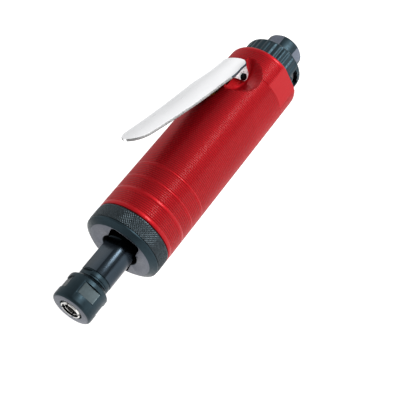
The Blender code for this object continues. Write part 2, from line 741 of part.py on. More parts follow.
def exhaust_deflector():
    wall_inside, cavity_end = 13.4 * MM, -62.2 * MM
    outline = [
        (DEFLECTOR_FRONT, wall_inside),
        (DEFLECTOR_FRONT, DEFLECTOR_RADIUS - 0.3 * MM),
        (DEFLECTOR_FRONT - 1.8 * MM, DEFLECTOR_RADIUS - 0.3 * MM),
        (DEFLECTOR_FRONT - 1.9 * MM, DEFLECTOR_RADIUS),
        (DEFLECTOR_REAR + 0.9 * MM, DEFLECTOR_RADIUS),
        (DEFLECTOR_REAR + 0.3 * MM, DEFLECTOR_RADIUS - 0.4 * MM),
        (DEFLECTOR_REAR, DEFLECTOR_RADIUS - 1.0 * MM),
        (DEFLECTOR_REAR, 8.4 * MM),
        (cavity_end, 8.4 * MM),
        (cavity_end, wall_inside),
    ]
    ring = turned("exhaust_deflector", outline, BLACK_OXIDE, steps=2 * DEFLECTOR_RIBS)
    for vertex in ring.data.vertices:
        radius = math.hypot(vertex.co.y, vertex.co.z)
        place = round(math.atan2(vertex.co.y, vertex.co.z) / math.tau * 2 * DEFLECTOR_RIBS)
        if radius > DEFLECTOR_RADIUS - 0.1 * MM and place % 2:
            vertex.co.yz *= (DEFLECTOR_RADIUS - RIB_DEPTH) / radius
    window = []
    for reach, angles in ((11.5 * MM, range(100, 171, 10)), (17 * MM, range(170, 99, -10))):
        window += [ring_position(reach, math.radians(degrees)) for degrees in angles]
    combine(ring, prism("cut_exhaust_window", window, (-61.6 * MM, 0, 0), (-57.2 * MM, 0, 0)))
    tube("muffler", -61.4 * MM, -56.4 * MM, 9.0 * MM, 12.9 * MM, FELT)


def inlet_bushing():
    outline = [
        (BUSHING_REAR, HOSE_BORE_RADIUS + 0.4 * MM),
        (BUSHING_REAR, BUSHING_RADIUS - 0.5 * MM),
        (BUSHING_REAR + 0.2 * MM, BUSHING_RADIUS - 0.2 * MM),
        (BUSHING_REAR + 0.8 * MM, BUSHING_RADIUS),
        (BUSHING_FRONT, BUSHING_RADIUS),
        (BUSHING_FRONT, 8.0 * MM),
        (-42.2 * MM, 8.0 * MM),
        (-42.2 * MM, 4.6 * MM),
        (-58.0 * MM, 4.6 * MM),
        (-58.0 * MM, HOSE_BORE_RADIUS),
        (BUSHING_REAR + 0.4 * MM, HOSE_BORE_RADIUS),
    ]
    bushing = turned("inlet_bushing", outline, BLACK_OXIDE)
    low, high = BUSHING_REAR - MM, BUSHING_FRONT - 1.2 * MM
    for tool in flat_cutters("cut_wrench", 4, WRENCH_WIDTH, low, high, WRENCH_TURN):
        combine(bushing, tool)
    tube("inlet_seal", -41.9 * MM, -40.8 * MM, 5.2 * MM, 8.0 * MM, RUBBER, steps=32)
    screen = rod("inlet_screen", -59.2 * MM, -58.3 * MM, 5.9 * MM, BRIGHT_STEEL)
    holes = [(0.0, 0.0)]
    for count, circle in ((6, 2.0), (11, 4.1)):
        holes += [(circle * MM, math.tau * i / count) for i in range(count)]
    centres = [ring_position(circle, angle) for circle, angle in holes]
    combine(screen, drills("cut_screen_holes", -60 * MM, -58 * MM, 0.6 * MM, centres, 8))


def main():
    clear_scene()
    housing()
    lever()
    lever_pin()
    throttle()
    valve_spring()
    rear_plate()
    cylinder()
    rotor()
    front_plate()
    rear_bore, front_bore = REAR_SHAFT_RADIUS + GAP, SHAFT_RADIUS + GAP
    ball_bearing("rear_bearing", -9.0 * MM, -3.5 * MM, rear_bore, 4.6 * MM, 7.9 * MM, 9.5 * MM)
    ball_bearing("front_bearing", 35.7 * MM, 42.7 * MM, front_bore, 5.9 * MM, 9.2 * MM, 11.0 * MM)
    clamp_ring()
    collet_body()
    collet()
    collet_nut()
    exhaust_deflector()
    inlet_bushing()


main()
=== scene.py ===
"""Detailed model of a straight air die grinder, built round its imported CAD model."""

import json
import math

import bmesh
import bpy
import numpy as np
from mathutils import Matrix, Vector


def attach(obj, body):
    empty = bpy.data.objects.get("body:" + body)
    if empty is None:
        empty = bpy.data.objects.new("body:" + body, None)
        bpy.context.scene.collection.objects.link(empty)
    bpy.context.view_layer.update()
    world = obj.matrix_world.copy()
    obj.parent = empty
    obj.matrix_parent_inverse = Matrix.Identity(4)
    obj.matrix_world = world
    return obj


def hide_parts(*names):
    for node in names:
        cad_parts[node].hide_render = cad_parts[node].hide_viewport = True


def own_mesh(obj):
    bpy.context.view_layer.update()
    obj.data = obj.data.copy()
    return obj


MM = 0.001
TAU = math.tau

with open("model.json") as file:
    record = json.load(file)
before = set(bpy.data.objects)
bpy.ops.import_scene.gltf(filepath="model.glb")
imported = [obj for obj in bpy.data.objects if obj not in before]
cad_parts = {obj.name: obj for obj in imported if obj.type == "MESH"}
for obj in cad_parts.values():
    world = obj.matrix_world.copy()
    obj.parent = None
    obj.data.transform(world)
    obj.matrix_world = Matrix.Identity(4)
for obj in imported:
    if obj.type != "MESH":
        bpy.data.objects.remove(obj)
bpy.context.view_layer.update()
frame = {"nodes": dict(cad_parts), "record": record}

# Sizes in millimetres, in the row's frame: +X towards the collet, +Z towards the lever.
BODY_R = 18.5
RIB_PITCH = 1.0
RIB_DEPTH = 0.3
PLAIN_RINGS = (43.5, 35.9, 28.0)
RIB_CLEARANCE = 0.02  # keeps the ribs inside the CAD housing
FLAT_Y = 17.0
FLAT_FRONT = -39.2
VALVE_X = -21.0
PIVOT = (-36.6, 0, 13.9)
LEVER_OPEN = math.radians(10.5)
SHEET = 1.2  # the lever's thickness
LEVER_REAR = -2.4  # from the pivot, where the rear corners begin to round
LEVER_CORNER = 2.2
LEVER_FULL_HALF = 8.9
TIP_START = 61.5
KNURL_STARTS = 100
KNURL_DEPTH = 0.4
SLOT_ANGLE = math.radians(46)
NUT_TURN = math.radians(62)
BUSHING_TURN = math.radians(8)
FLUTES = 30
FLUTE_DEPTH = 0.45


# Mesh helpers -------------------------------------------------------------------------------


def mesh_object(name, verts, faces, sharp=30):
    """An object from points in millimetres."""
    mesh = bpy.data.meshes.new(name)
    mesh.from_pydata([tuple(v) for v in np.asarray(verts) * MM], [], [tuple(f) for f in faces])
    mesh.update()
    obj = bpy.data.objects.new(name, mesh)
    bpy.context.scene.collection.objects.link(obj)
    tidy(obj, sharp)
    return obj


def tidy(obj, sharp):
    """Merges points that coincide, and turns every face outwards."""
    bm = bmesh.new()
    bm.from_mesh(obj.data)
    bmesh.ops.remove_doubles(bm, verts=bm.verts, dist=1e-7)
    bmesh.ops.recalc_face_normals(bm, faces=bm.faces)
    bm.to_mesh(obj.data)
    bm.free()
    shade(obj, sharp)


def shade(obj, sharp):
    obj.data.shade_smooth()
    obj.data.set_sharp_from_angle(angle=math.radians(sharp))


def lathe(name, profile, segs, shape=None, sharp=30, axis="X", centre=(0, 0, 0)):
    """A turned piece from (distance, radius) pairs round the loop. A chain that starts and ends
    at radius 0 closes on the axis. shape(x, angles, radius) may vary the radius round the turn."""
    angles = np.arange(segs) * TAU / segs
    closed_loop = min(r for _, r in profile) > 0
    verts, rows = [], []
    for x, r in profile:
        if r <= 0:
            rows.append([len(verts)] * segs)
            verts.append((x, 0.0, 0.0))
            continue
        radius = shape(x, angles, r) if shape else np.full(segs, float(r))
        rows.append(list(range(len(verts), len(verts) + segs)))
        verts += list(zip(np.full(segs, float(x)), radius * np.sin(angles), radius * np.cos(angles)))
    faces = []
    pairs = list(zip(rows, rows[1:])) + ([(rows[-1], rows[0])] if closed_loop else [])
    for first, second in pairs:
        for i in range(segs):
            j = (i + 1) % segs
            corners = [first[i], first[j], second[j], second[i]]
            face = [c for k, c in enumerate(corners) if c != corners[k - 1]]
            if len(face) > 2:
                faces.append(face)
    points = np.array(verts)
    if axis == "Y":
        points = points[:, [1, 0, 2]]
    if axis == "Z":
        points = points[:, [1, 2, 0]]
    return mesh_object(name, points + np.array(centre, float), faces, sharp)


def extrude(name, outline, start, end):
    """A prism: the 3-D outline moved by start and by end."""
    count = len(outline)
    base = np.array(outline, float)
    verts = np.vstack([base + start, base + end])
    faces = [list(range(count))[::-1], list(range(count, 2 * count))]
    faces += [[i, (i + 1) % count, count + (i + 1) % count, count + i] for i in range(count)]
    return mesh_object(name, verts, faces)


def block(name, low, high):
    """A box between two corners."""
    (x0, y0, z0), (x1, y1, z1) = low, high
    outline = [(0, y0, z0), (0, y1, z0), (0, y1, z1), (0, y0, z1)]
    return extrude(name, outline, (x0, 0, 0), (x1, 0, 0))


def spun(obj, angle):
    """Turns the mesh about the spindle's axis."""
    obj.data.transform(Matrix.Rotation(-angle, 4, "X"))
    return obj


def carve(obj, tools, operation="DIFFERENCE", sharp=30):
    """Applies the tools together in one Boolean, then deletes them."""
    group = bpy.data.collections.new("tools")
    for tool in tools:
        group.objects.link(tool)
    modifier = obj.modifiers.new("cut", "BOOLEAN")
    modifier.operation = operation
    modifier.solver = "MANIFOLD"
    modifier.operand_type = "COLLECTION"
    modifier.collection = group
    bake(obj, sharp)
    for tool in tools:
        bpy.data.objects.remove(tool)
    bpy.data.collections.remove(group)


def bake(obj, sharp=30):
    """Applies every modifier."""
    graph = bpy.context.evaluated_depsgraph_get()
    mesh = bpy.data.meshes.new_from_object(obj.evaluated_get(graph), depsgraph=graph)
    obj.modifiers.clear()
    old = obj.data
    obj.data = mesh
    bpy.data.meshes.remove(old)
    mesh.name = obj.name
    mesh.materials.clear()
    shade(obj, sharp)


def soften(obj, width):
    """Rounds the hard edges, as a real edge is."""
    modifier = obj.modifiers.new("soften", "BEVEL")
    modifier.width = width * MM
    modifier.segments = 2
    modifier.limit_method = "ANGLE"
    modifier.angle_limit = math.radians(40)
    bake(obj)


def dress(obj, material, *indexed):
    """Gives the object its materials: the first everywhere, and each of the others where its
    test on a face's centre and normal, in millimetres, is true."""
    obj.data.materials.clear()
    obj.data.materials.append(material)
    for slot, (other, test) in enumerate(indexed, 1):
        obj.data.materials.append(other)
        for face in obj.data.polygons:
            if test(face.center / MM, face.normal):
                face.material_index = slot


def piece(obj, body, node):
    """The object stands for a CAD node and moves with its body."""
    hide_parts(node)
    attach(obj, body)


def reach(point):
    """How far a point is from the spindle's axis."""
    return math.hypot(point.y, point.z)


# Materials ----------------------------------------------------------------------------------


class Paint:
    """A Principled material with small helpers for the nodes that feed it."""

    def __init__(self, name, colour, metallic, roughness, **sockets):
        self.material = bpy.data.materials.new(name)
        self.material.use_nodes = True
        self.tree = self.material.node_tree
        self.shader = self.tree.nodes["Principled BSDF"]
        self.shader.inputs["Base Color"].default_value = (*colour, 1)
        self.shader.inputs["Metallic"].default_value = metallic
        self.shader.inputs["Roughness"].default_value = roughness
        for label, value in sockets.items():
            self.shader.inputs[label.replace("_", " ").title()].default_value = value
        self.colour = colour
        self.where = self.tree.nodes.new("ShaderNodeTexCoord").outputs["Object"]

    def node(self, kind, **settings):
        made = self.tree.nodes.new(kind)
        for label, value in settings.items():
            setattr(made, label, value)
        return made

    def link(self, source, target):
        self.tree.links.new(source, target)

    def noise(self, scale, detail=4.0, rough=0.6, stretch=(1, 1, 1)):
        mapping = self.node("ShaderNodeMapping")
        mapping.inputs["Scale"].default_value = stretch
        self.link(self.where, mapping.inputs["Vector"])
        made = self.node("ShaderNodeTexNoise")
        made.inputs["Scale"].default_value = scale
        made.inputs["Detail"].default_value = detail
        made.inputs["Roughness"].default_value = rough
        self.link(mapping.outputs["Vector"], made.inputs["Vector"])
        return made.outputs["Fac"]

    def ramp(self, source, stops):
        made = self.node("ShaderNodeValToRGB")
        elements = made.color_ramp.elements
        while len(elements) < len(stops):
            elements.new(0.5)
        for element, (place, colour) in zip(elements, stops):
            element.position = place
            element.color = (*colour, 1)
        self.link(source, made.inputs["Fac"])
        return made.outputs["Color"]

    def span(self, source, low, high, start=0.0, end=1.0):
        made = self.node("ShaderNodeMapRange")
        made.inputs["From Min"].default_value = start
        made.inputs["From Max"].default_value = end
        made.inputs["To Min"].default_value = low
        made.inputs["To Max"].default_value = high
        self.link(source, made.inputs["Value"])
        return made.outputs["Result"]

    def mottle(self, source, low, high, start=0.3, end=0.7):
        """Varies the colour from low to high times its value."""
        dark = tuple(c * low for c in self.colour)
        light = tuple(min(c * high, 1) for c in self.colour)
        self.link(self.ramp(source, [(start, dark), (end, light)]), self.shader.inputs["Base Color"])

    def vary_roughness(self, source, low, high, start=0.3, end=0.7):
        self.link(self.span(source, low, high, start, end), self.shader.inputs["Roughness"])

    def bump(self, source, distance, strength=1.0):
        made = self.node("ShaderNodeBump")
        made.inputs["Distance"].default_value = distance * MM
        made.inputs["Strength"].default_value = strength
        self.link(source, made.inputs["Height"])
        self.link(made.outputs["Normal"], self.shader.inputs["Normal"])


def metal(name, colour, roughness, grain=900, low=0.8, high=1.2, depth=0.004, stretch=(1, 1, 1)):
    """Bare or blackened metal with fine grain and broad, faint changes of tone."""
    paint = Paint(name, colour, 1.0, roughness)
    fine = paint.noise(grain, 5, 0.7, stretch)
    broad = paint.noise(60, 3, 0.5)
    paint.mottle(broad, low, high)
    paint.vary_roughness(fine, roughness * 0.75, roughness * 1.3)
    paint.bump(fine, depth)
    return paint.material


RED = (0.4, 0.004, 0.009)


def red_anodised(name="red_anodised", share=1.0):
    """Satin red with a thin gloss. The share darkens it, as painted shade on the floors between the
    ribs.
    """
    colour = tuple(share * c for c in RED)
    paint = Paint(name, colour, 0.7, 0.52, coat_weight=0.2, coat_roughness=0.2)
    paint.shader.inputs["Specular IOR Level"].default_value = 0.16
    broad = paint.noise(35, 3, 0.5)
    fine = paint.noise(1400, 4, 0.7, (0.2, 1, 1))
    paint.mottle(broad, 0.93, 1.05)
    paint.vary_roughness(fine, 0.47, 0.57)
    paint.bump(fine, 0.003)
    return paint.material


def lever_sheet():
    paint = Paint("plated_sheet", (0.93, 0.935, 0.95), 1.0, 0.26)
    brushed = paint.noise(500, 5, 0.7, (0.08, 1, 1))
    paint.vary_roughness(brushed, 0.26, 0.36)
    paint.mottle(paint.noise(50, 3, 0.5), 0.97, 1.02)
    return paint.material


def mottled_ear():
    paint = Paint("plated_ear", (0.62, 0.63, 0.64), 0.45, 0.45)
    blotch = paint.noise(900, 3, 0.6)
    paint.mottle(blotch, 0.6, 1.35, 0.36, 0.56)
    paint.bump(blotch, 0.01)
    return paint.material


def sheet_edge():
    paint = Paint("sheared_edge", (0.3, 0.3, 0.3), 1.0, 0.5)
    blotch = paint.noise(1300, 4, 0.7, (1, 1, 3))
    paint.mottle(blotch, 0.45, 1.5, 0.35, 0.65)
    paint.bump(blotch, 0.01)
    return paint.material


def felt_material():
    paint = Paint("felt", (0.14, 0.14, 0.15), 0.0, 0.95)
    fibre = paint.noise(2500, 6, 0.8)
    paint.mottle(fibre, 0.6, 1.5)
    paint.bump(fibre, 0.1)
    return paint.material


def moulded(name, colour, roughness, grain, depth, low=0.85, high=1.15):
    """Rubber or resin."""
    paint = Paint(name, colour, 0.0, roughness)
    fine = paint.noise(grain, 4, 0.6)
    paint.mottle(fine, low, high)
    paint.vary_roughness(fine, roughness * 0.85, min(roughness * 1.15, 1))
    paint.bump(fine, depth)
    return paint.material


def polished_black():
    """The collet body's neck."""
    paint = Paint("black_polished", (0.036, 0.05, 0.064), 1.0, 0.22)
    fine = paint.noise(900, 4, 0.7, (0.2, 1, 1))
    paint.mottle(paint.noise(60, 3, 0.5), 0.85, 1.15)
    paint.vary_roughness(fine, 0.18, 0.28)
    return paint.material


def knurl_black():
    """The clamp ring's knurl, worn at its points."""
    paint = Paint("black_knurl", (0.034, 0.044, 0.05), 1.0, 0.33)
    fine = paint.noise(1500, 4, 0.7)
    paint.mottle(paint.noise(900, 3, 0.6), 0.75, 1.3, 0.35, 0.65)
    paint.vary_roughness(fine, 0.22, 0.45)
    paint.bump(fine, 0.004)
    return paint.material


MATERIALS = {
    "red": red_anodised(),
    # Darker red for the groove floors: painted shade in the recesses between the ribs.
    "groove": red_anodised("red_groove_painted_shade", 0.4),
    "sheet": lever_sheet(),
    "ear": mottled_ear(),
    "edge": sheet_edge(),
    # The lever's underside is darkened as painted shade, so the housing under the lever reflects it
    # dark.
    "inside": metal("underside_painted_shade", (0.05, 0.048, 0.048), 0.5),
    # The dark strip at the lever's hinge bend is painted shade under the plate's overhang.
    "bend": metal("bend_painted_shade", (0.05, 0.062, 0.078), 0.35),
    "black": metal("black_oxide", (0.026, 0.043, 0.053), 0.42),
    "neck": polished_black(),
    "flat": metal("black_facet", (0.13, 0.15, 0.19), 0.45),
    # A lighter copy of the black oxide for the faces that look forwards: painted sheen.
    "black_face": metal("black_face_painted_sheen", (0.125, 0.135, 0.16), 0.42, grain=1200),
    "black_worn": metal(
        "black_milled_flat", (0.055, 0.072, 0.078), 0.45, 1500, 0.6, 1.4, 0.03, (0.5, 1, 1)
    ),
    # Near-black: the hinge pin's own colour, and painted shade inside the bores, hollows and grooves
    # where it is reused.
    "pin": metal("black_pin_and_painted_shade", (0.004, 0.005, 0.006), 0.5),
    "knurl": knurl_black(),
    "bright": metal("bright_steel", (0.72, 0.71, 0.69), 0.22, stretch=(0.3, 1, 1)),
    "ground": metal("ground_steel", (0.52, 0.52, 0.53), 0.3, stretch=(0.2, 1, 1)),
    "iron": metal("machined_iron", (0.2, 0.2, 0.205), 0.5, 700, 0.75, 1.25, 0.01),
    "brass": metal("turned_brass", (0.62, 0.36, 0.11), 0.28),
    "rubber": moulded("nitrile_rubber", (0.02, 0.02, 0.021), 0.7, 900, 0.01),
    "felt": felt_material(),
    "resin": moulded("vane_resin", (0.22, 0.1, 0.035), 0.6, 1200, 0.01, 0.7, 1.3),
}

SLOT_LOOKS = {
    "ground_steel": "ground", "bright_steel": "bright", "cast_iron": "iron", "brass": "brass",
    "seal_rubber": "rubber", "felt": "felt", "vane_resin": "resin", "black_oxide": "black",
    "red_anodised": "red", "plated_sheet": "sheet",
}

slots = {s["node"]: s["material_slot"] for s in frame["record"]["subparts"]}
for name, node in frame["nodes"].items():
    look = "brass" if name.endswith("_balls") else SLOT_LOOKS[slots[name]]
    dress(node, MATERIALS[look])
    shade(node, 35)


# Housing ------------------------------------------------------------------------------------


def ribbed_outline(start, end):
    """(x, radius) pairs from start down to end: fine ribs, with a few plain rings, which stand
    where a whole or a half rib would."""
    points = []
    count = int(round((start - end) / RIB_PITCH))
    pitch = (start - end) / count
    high = BODY_R - RIB_CLEARANCE
    low = high - RIB_DEPTH
    plain = []
    for ring in PLAIN_RINGS:
        if end < ring < start:
            step = round(2 * (start - ring) / pitch) / 2
            plain.append(start - step * pitch)
            half = (0.87 if step == int(step) else 0.37) * pitch
            points += [(plain[-1] + half, high), (plain[-1] - half, high)]
    for i in range(count):
        x = start - (i + 0.5) * pitch
        if all(abs(x - ring) > 0.7 * pitch for ring in plain):
            points += [(x + 0.37 * pitch, low), (x + 0.08 * pitch, high)]
            points += [(x - 0.08 * pitch, high), (x - 0.37 * pitch, low)]
    return sorted(points, reverse=True)


def housing():
    """The red body: ribbed, with two flats, two lever pockets, and the bores inside."""
    outer = [(53.5, 16.2), (53.5, 18.2), (53.3, 18.42), (51.5, 18.42)]
    outer += ribbed_outline(51.4, FLAT_FRONT)
    outer += [(FLAT_FRONT + 0.02, BODY_R - 0.1), (FLAT_FRONT - 0.02, BODY_R - 0.1)]
    outer += ribbed_outline(FLAT_FRONT, -51.6)
    outer += [(-51.8, 18.4), (-52.9, 18.4), (-53.3, 18.25), (-53.5, 17.9), (-53.5, 8.3)]
    inner = [(-40.5, 8.3), (-40.5, 0)]
    front = [(-11.0, 0), (-9.5, 3.0), (-9.5, 16.2)]
    body = lathe("housing_shell", front + outer + inner, 144, sharp=50)
    for vertex in body.data.vertices:
        x, y, _ = vertex.co / MM
        if x < FLAT_FRONT and abs(y) > FLAT_Y:
            vertex.co.y = math.copysign(FLAT_Y, y) * MM
    fillet = 2.2
    outline = [(4.6, 0)]
    for i in range(9):
        angle = math.radians(90 * i / 8)
        outline.append((4.6 + fillet * (1 - math.cos(angle)), 10.4 + fillet * math.sin(angle)))
    outline += [(21, 12.6), (21, 0)]
    pockets = []
    for side in (1, -1):
        profile = [(side * y, r) for y, r in outline]
        pockets.append(lathe("pocket", profile, 96, axis="Y", centre=(-35.4, 0, 22.9)))
    valve = [
        (-20, 0), (-20, 6.5), (-12, 6.5), (-12, 5.5), (1, 5.5), (1, 3.3), (9.5, 3.3), (9.5, 4.4),
        (21, 4.4), (21, 0),
    ]
    holes = [
        lathe("valve_bore", valve, 48, axis="Z", centre=(VALVE_X, 0, 0)),
        lathe("air_way", [(-41, 0), (-41, 5), (-25.9, 5), (-25.9, 0)], 32),
        lathe("pin_hole", [(-20, 0), (-20, 1.75), (20, 1.75), (20, 0)], 24, axis="Y", centre=PIVOT),
        block("relief", (-42.8, -5.6, 16.5), (-27, 5.6, 20)),
        lathe("gallery", [(VALVE_X, 0), (VALVE_X, 2.2), (-11, 2.2), (-11, 0)], 20, centre=(0, 0, 6)),
        block("port", (-12.2, -3, 3.5), (-8.5, 3, 14.8)),
    ]
    for degrees in (-125, -95, -65, 65, 95, 125):
        angle = math.radians(degrees)
        centre = (0, 13.2 * math.sin(angle), 13.2 * math.cos(angle))
        holes.append(lathe("exhaust", [(-55, 0), (-55, 2), (-8, 2), (-8, 0)], 16, centre=centre))
    carve(body, pockets, sharp=50)
    carve(body, holes, sharp=50)
    groove_radius = BODY_R - RIB_CLEARANCE - RIB_DEPTH

    def in_groove(c, n):
        return abs(reach(c) - groove_radius) < 0.04 and abs(n.x) < 0.2 and abs(c.x) < 52

    # The groove floors take the darker red: painted shade.
    dress(body, MATERIALS["red"], (MATERIALS["groove"], in_groove))
    piece(body, "body", "housing")


# Lever --------------------------------------------------------------------------------------


def smooth(t):
    """Rises from 0 to 1 with level ends."""
    t = min(max(t, 0.0), 1.0)
    return t * t * (3 - 2 * t)


def lever_half(d):
    """Half the handle's width at d from the pivot: a narrow neck, a slow taper and a round tip."""
    width = 8.0 + 0.85 * smooth((d + 1) / 9)
    width -= LEVER_CORNER - math.sqrt(LEVER_CORNER**2 - max(LEVER_REAR - d, 0) ** 2)
    width -= 1.95 * smooth((d - 16) / 60) * 1.12
    rounding = max(d - TIP_START, 0) / 10.5
    return width * math.sqrt(max(1 - rounding**2.4, 0.02))


def lever_top(d, y):
    """The handle's top, bowed along and crowned across. At the hinge its sides fold down."""
    bow = 5.6 + 0.0009 * (d - 23) ** 2
    fold = 1.2 * (1 - smooth((d + 1) / 20))
    across = y / LEVER_FULL_HALF
    return bow + 1.0 * (1 - across**2) - fold * abs(across) ** 3


def lever_section(d, columns):
    """The points round the sheet at d from the pivot."""
    half = lever_half(d)
    ys = np.linspace(-half, half, columns + 1)
    lip = 0.28
    edge = lever_top(d, half)
    top = [(d, y, lever_top(d, y)) for y in ys]
    top[0] = (d, -half + 0.18, edge)
    top[-1] = (d, half - 0.18, edge)
    low = [(d, y, lever_top(d, y) - SHEET) for y in ys[::-1]]
    low[0] = (d, half - 0.15, edge - SHEET)
    low[-1] = (d, -half + 0.15, edge - SHEET)
    right = [(d, half, edge - lip), (d, half, edge - SHEET + lip)]
    left = [(d, -half, edge - SHEET + lip), (d, -half, edge - lip)]
    return top + right + low + left


def lever():
    """The handle with its two ears and their hole, made level and then turned to its rest angle."""
    stations = [LEVER_REAR - LEVER_CORNER * math.sin(t) for t in np.linspace(math.pi / 2, 0.2, 8)]
    stations += list(np.linspace(LEVER_REAR, TIP_START, 56))
    stations += [TIP_START + 10.45 * math.sin(t) for t in np.linspace(0.08, math.pi / 2, 20)]
    columns = 28
    section = 2 * (columns + 1) + 4
    verts, faces = [], []
    for d in stations:
        verts += lever_section(d, columns)
    for k in range(len(stations) - 1):
        for i in range(section):
            j = (i + 1) % section
            a, b = k * section, (k + 1) * section
            faces.append([a + i, a + j, b + j, b + i])
    faces.append(list(range(section)))
    faces.append([len(verts) - section + i for i in range(section)][::-1])
    plate = mesh_object("lever_handle", verts, faces, sharp=40)
    arc = [math.radians(180 + 125 * i / 20) for i in range(21)]
    lower = [(-1.2 + 3.0 * math.cos(a), 0, 0.6 + 3.0 * math.sin(a)) for a in arc]
    lower += [(3.4, 0, 0.9), (6.2, 0, 3.0), (8.4, 0, 4.4), (9.0, 0, 5.1), (-4.2, 0, 5.3)]
    ears = [extrude("ear", lower, (0, side * 5.4, 0), (0, side * 6.5, 0)) for side in (1, -1)]
    carve(plate, ears, "UNION", sharp=35)
    hole = lathe("hole", [(-9, 0), (-9, 1.8), (9, 1.8), (9, 0)], 32, axis="Y")
    carve(plate, [hole], sharp=35)

    def on_edge(c, n):
        return c.x > 3 and abs(c.y) > lever_half(c.x) - 0.4 and abs(n.z) < 0.6

    # The strip where the ears leave the plate, painted dark as shade.
    def on_bend(c, n):
        return abs(n.z) < 0.75 and abs(c.y) > 6.6 and c.x < 9.0 and c.z >= 3.5

    dress(
        plate, MATERIALS["sheet"],
        # Faces under the plate take the dark underside material: painted shade.
        (MATERIALS["inside"], lambda c, n: n.z < -0.6 and c.z > 4.0),
        (MATERIALS["edge"], on_edge),
        (MATERIALS["ear"], lambda c, n: abs(n.y) > 0.8 and abs(c.y) > 6.4 and c.z < 4.0),
        (MATERIALS["bend"], on_bend),
    )
    plate.data.transform(Matrix.Rotation(-LEVER_OPEN, 4, "Y"))
    plate.data.transform(Matrix.Translation(Vector(PIVOT) * MM))
    piece(plate, "throttle_lever", "lever")


def lever_pin():
    outline = [(-7.75, 0), (-7.75, 1.3), (-7.5, 1.6), (7.5, 1.6), (7.75, 1.3), (7.75, 0)]
    pin = lathe("lever_hinge_pin", outline, 40, axis="Y", centre=PIVOT)
    dress(pin, MATERIALS["pin"])
    piece(pin, "body", "lever_pin")


def valve_spring():
    """The coil under the throttle valve."""
    wire, radius, turns, sides, steps = 0.45, 3.5, 4.5, 10, 28
    low, high, stroke = -11.25, -3.95, 2.9
    count = int(turns * steps)
    around = np.arange(sides) * TAU / sides
    verts = []
    for i in range(count + 1):
        outward = np.array((math.cos(i * TAU / steps), math.sin(i * TAU / steps), 0))
        centre = outward * radius + np.array((VALVE_X, 0, low + (high - low) * i / count))
        for a in around:
            verts.append(centre + wire * (outward * math.cos(a) + np.array((0, 0, math.sin(a)))))
    faces = [list(range(sides))[::-1], list(range(count * sides, (count + 1) * sides))]
    for i in range(count):
        for j in range(sides):
            k = (j + 1) % sides
            faces.append([i * sides + j, i * sides + k, (i + 1) * sides + k, (i + 1) * sides + j])
    coil = mesh_object("valve_coil", verts, faces, 50)
    dress(coil, MATERIALS["ground"])
    piece(coil, "body", "valve_spring")
    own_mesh(coil)


# Nose ---------------------------------------------------------------------------------------


def clamp_ring():
    """The ring that closes the housing: crossed knurl, a bevel, and a slot for a spanner."""
    profile = [(45.7, 12.4), (45.7, 15.9), (53.8, 15.9), (53.8, 18.0), (54.0, 18.25)]
    profile += [(x, BODY_R) for x in np.linspace(54.3, 60.7, 40)]
    profile += [
        (60.8, 17.95), (61.0, 17.95), (61.05, 18.25), (61.75, 18.25), (61.9, 18.12),
        (63.38, 15.62), (63.5, 15.4), (63.5, 9.0), (63.3, 8.8), (58.5, 8.8), (58.5, 12.4),
    ]

    def knurl(x, angles, r):
        if r != BODY_R:
            return np.full(len(angles), float(r))
        turns = angles * KNURL_STARTS / TAU
        climb = (x - 54.0) / 1.15
        first = np.abs(((turns + climb) % 1.0) * 2 - 1)
        second = np.abs(((turns - climb) % 1.0) * 2 - 1)
        edge = min(1.0, (x - 54.2) / 0.4, (60.8 - x) / 0.4)
        return r - KNURL_DEPTH * (1 - 0.5 * (first + second)) - 0.1 * (1 - max(edge, 0))

    ring = lathe("clamp_ring_knurled", profile, KNURL_STARTS * 6, knurl, sharp=50)
    corner = 2.7
    outline = []
    for y_sign, z_sign, start in ((1, 1, 0), (1, -1, 90), (-1, -1, 180), (-1, 1, 270)):
        for i in range(8):
            angle = math.radians(start + 90 * i / 7)
            y = y_sign * 4.5 + corner * math.sin(angle)
            z = z_sign * 11.6 + corner * math.cos(angle)
            outline.append((0, y, z))
    slot = spun(extrude("slot", outline, (57, 0, 0), (65, 0, 0)), SLOT_ANGLE)
    carve(ring, [slot], sharp=50)
    dress(
        ring, MATERIALS["black"],
        (MATERIALS["knurl"], lambda c, n: 54 < c.x < 60.75 and reach(c) > 17.5),
        # The front face's lighter black is painted sheen.
        (MATERIALS["black_face"], lambda c, n: n.x > 0.9 and c.x > 63.3),
        # Near-black in the ring's bore: painted shade.
        (MATERIALS["pin"], lambda c, n: c.x < 63.3 and reach(c) < 15.3),
    )
    piece(ring, "body", "clamp_ring")


def collet_body():
    """The neck, with two pairs of flats: long ones and those of the ring behind the nut."""
    outline = [
        (43, 4.3), (43, 6.2), (47, 6.2), (48, 7.3), (79.9, 7.3), (80.05, 6.85), (80.5, 6.85),
        (80.65, 7.15), (82.2, 7.15), (82.35, 6.9), (82.6, 6.9), (82.75, 7.1), (83.05, 7.1),
        (83.3, 6.6), (90.6, 6.6), (90.6, 5.7), (74, 5.0), (72, 4.2), (66, 4.2), (64, 3.4), (62.3, 4.3),
    ]
    body = lathe("collet_holder", outline, 128)
    flats = []
    for rear, front, half in ((62, 79.95, 6), (80.6, 83.1, 6.35)):
        flats.append(block("flat", (rear, -12, half), (front, 12, 12)))
        flats.append(block("flat", (rear, -12, -12), (front, 12, -half)))
    carve(body, flats)
    soften(body, 0.12)
    dress(body, MATERIALS["black"], (MATERIALS["neck"], lambda c, n: c.x < 79.9 and abs(n.x) < 0.3))
    piece(body, "spindle", "collet_body")


